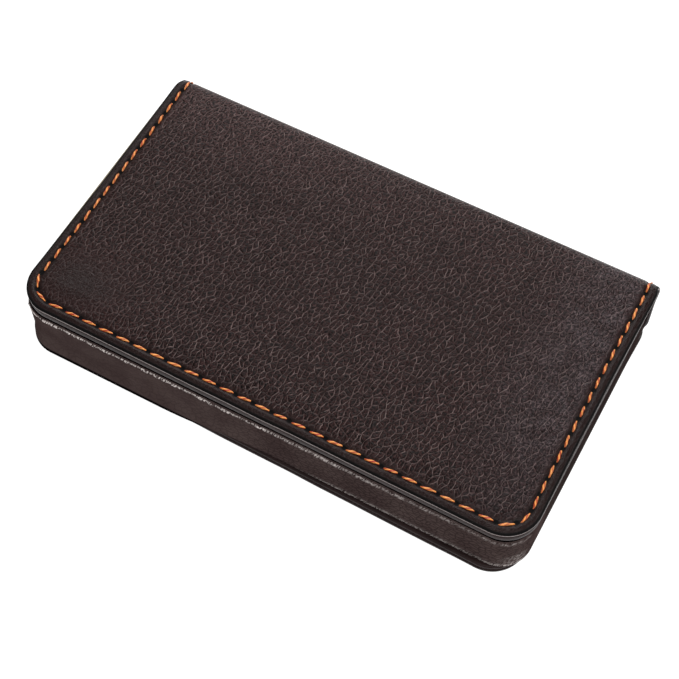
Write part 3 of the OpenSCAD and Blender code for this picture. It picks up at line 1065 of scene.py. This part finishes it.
def tray_velvet():
    """One piece of velvet over the tray's floor, turned up its sides to under the folded leather."""
    low, high = velvet_low, velvet_high
    plan = Plan(high[0] - 0.02, low[1] + 0.02, high[1] - 0.02, 4.8, 2.6)
    top = fold_top_z - 0.05
    pile = 0.38
    floor_z = high[2]
    turn = 0.7
    angle = np.linspace(0, math.pi / 2, 6)[1:]
    inner = [(i, floor_z) for i in np.linspace(plan.middle(), pile + turn, 20)]
    curve = list(zip(pile + turn - turn * np.sin(angle), floor_z + turn - turn * np.cos(angle)))
    wall = [(pile, z) for z in np.linspace(floor_z + turn, top, 6)[1:]]
    outer = [(0.0, top), (0.0, (top + low[2]) / 2), (0.0, low[2] + 0.03)]
    under = [(i, low[2] + 0.03) for i in np.linspace(0, plan.middle(), 14)[1:]]

    def nap(points):
        """Makes the floor a little uneven."""
        moved = points.copy()
        on_floor = np.abs(points[..., 2] - floor_z) < 0.01
        moved[..., 2] += on_floor * 0.05 * wave(points[..., 0], points[..., 1], 4, 31)
        return moved

    piece = lathe("tray_velvet", plan, inner + curve + wall + outer + under, velvet, warp=nap)
    place(piece, body="base", stands_for=("tray_floor_lining", "tray_side_lining"))
    return piece


tray_velvet()


def lid_foam():
    """The thin foam pad under the lid's leather."""
    low, high = box_mm("lid_padding")
    plan = Plan(high[0] - 1.2, low[1] + 1.2, high[1] - 2.5, 2.5, 1.0)
    bottom, top = low[2] + 0.02, TOP_Z - 0.32
    insets = np.linspace(plan.middle(), 0, 24)
    upper = list(zip(insets, bottom + (top - bottom + 0.18) * ease((insets + 0.4) / 3.0)))
    lower = [(inset, bottom) for inset in np.linspace(0, plan.middle(), 14)]
    piece = lathe("lid_foam_pad", plan, upper + lower, foam)
    place(piece, body="lid", stands_for=("lid_padding",))


lid_foam()


def pocket_panel():
    """The card pocket's leather panel under the lid, with a thumb notch in its mouth."""
    low, high = box_mm("lid_pocket")
    half, front, mouth = high[0], low[1], high[1]
    notch = 10.0
    radius = CORNER_R - (HALF - half)
    columns = even(-half, half, 0.7)
    shares = np.linspace(0, 1, 60)
    inside = np.maximum(np.abs(columns) - (half - radius), 0)
    near_edge = front + radius - np.sqrt(np.maximum(radius ** 2 - inside ** 2, 0))
    far_edge = mouth - np.sqrt(np.maximum(notch ** 2 - columns ** 2, 0))
    y = near_edge + (far_edge - near_edge) * shares[:, None]
    edge = np.minimum(np.minimum(half - np.abs(columns), y - near_edge), far_edge - y)
    swell = 0.1 * ease(edge / 1.2) + 0.08 * np.sin(math.pi * shares)[:, None] * ease(edge / 6)
    z = low[2] + 0.2 - swell
    surface = Surface()
    surface.patch(together(columns, y, z), together(columns, y), 0.7, flip=True)
    piece = thicken(surface.make("lid_pocket_panel", lining_leather), 0.42)
    return place(piece, body="lid", stands_for=("lid_pocket",))


pocket_panel()


def pocket_seam():
    """Stitches that hold the pocket's panel on three sides."""
    rng = np.random.RandomState(9)
    inset = 2.0
    low, high = box_mm("lid_pocket")
    half = high[0] - inset
    radius = CORNER_R - (HALF - half)
    stitches, _ = seam_stitches(half, high[1] - 1.0, low[1] + inset, radius)
    surface = Surface()
    up = np.array([0.0, 0.0, -1.0])
    for x, y, heading, length in stitches:
        along = np.array([math.cos(heading), math.sin(heading), 0.0])
        centre = np.array([x, y, low[2] + 0.1])
        stitch(surface, centre, along, np.cross(up, along), up, length * 0.9, rng)
    piece = surface.make("pocket_stitches", thread, THREAD_WELD)
    return place(piece, body="lid", stands_for=("pocket_stitching",))


pocket_seam()


# -------------------- the hidden CAD pieces

hidden_materials = {"lid_board": board, "lid_inner_board": board, "tray_frame": plastic,
                    "tray_keeper": steel, "lid_magnets": nickel}
for node_name, material in hidden_materials.items():
    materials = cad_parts[node_name].data.materials
    materials.clear()
    materials.append(material)


# -------------------- stage, light and camera

def floor():
    """A pale floor that glows a little, as a light table does."""
    n = Nodes("pale_floor")
    grey = n.mix(n.noise(n.object_millimetres(), 0.02), (0.22, 0.22, 0.22, 1), (0.25, 0.25, 0.25, 1))
    glow = {"Emission Color": (1, 1, 1, 1), "Emission Strength": 0.95}
    mesh = bpy.data.meshes.new("floor")
    size = 3.0
    corners = [(-size, -size, 0), (size, -size, 0), (size, size, 0), (-size, size, 0)]
    mesh.from_pydata(corners, [], [(0, 1, 2, 3)])
    ground = new_object("floor", mesh, n.finish(grey, 0.9, glow))
    ground.location.z = -0.0001


LIGHTS = (                   # name, place, size and power
    ("back_left", (-0.4, 0.5, 0.52), (0.5, 0.3), 2.0),
    ("top_right", (-0.03, 0.33, 0.62), (0.12, 0.3), 1.3),
    ("back_low", (-0.15, 0.75, 0.28), (0.8, 0.2), 2.0),
    ("right", (0.6, 0.2, 0.35), (0.3, 0.5), 1.1),
    ("front", (-0.17, -0.6, 0.31), (0.6, 0.2), 0.25),
    ("key", (0.25, -0.35, 0.7), (0.4, 0.4), 3.2),
)
LIT_POINT = Vector((0, 0, 0.008))


def softbox(name, place_at, size, energy):
    """A rectangular soft light that looks at the case."""
    data = bpy.data.lights.new(name, "AREA")
    data.shape = "RECTANGLE"
    data.size, data.size_y = size
    data.energy = energy
    light = new_object(name, data)
    light.location = place_at
    light.rotation_euler = (LIT_POINT - Vector(place_at)).to_track_quat("-Z", "Y").to_euler()


def studio():
    """A dim white surrounding and the soft lights."""
    scene = bpy.context.scene
    scene.world = bpy.data.worlds.new("studio")
    scene.world.use_nodes = True
    background = scene.world.node_tree.nodes["Background"]
    background.inputs["Color"].default_value = (1, 1, 1, 1)
    background.inputs["Strength"].default_value = 0.16
    for light in LIGHTS:
        softbox(*light)
    scene.view_settings.view_transform = "Standard"


AZIMUTH = 28.67              # the camera's place round the case and above it, in degrees
ELEVATION = 59.61
DISTANCE = 0.2856
AIM = Vector((0.00322, -0.00508, 0.0085))
LENS = 80.39                 # for a sensor of 36 mm


def camera():
    """The photographer's view."""
    turn, rise = math.radians(AZIMUTH), math.radians(ELEVATION)
    back = Vector((math.sin(turn) * math.cos(rise), -math.cos(turn) * math.cos(rise), math.sin(rise)))
    data = bpy.data.cameras.new("camera")
    data.lens = LENS
    data.sensor_width = 36
    data.clip_start = 0.01
    viewer = new_object("camera", data)
    viewer.location = AIM + back * DISTANCE
    viewer.rotation_euler = (-back).to_track_quat("-Z", "Y").to_euler()
    bpy.context.scene.camera = viewer


floor()
studio()
camera()
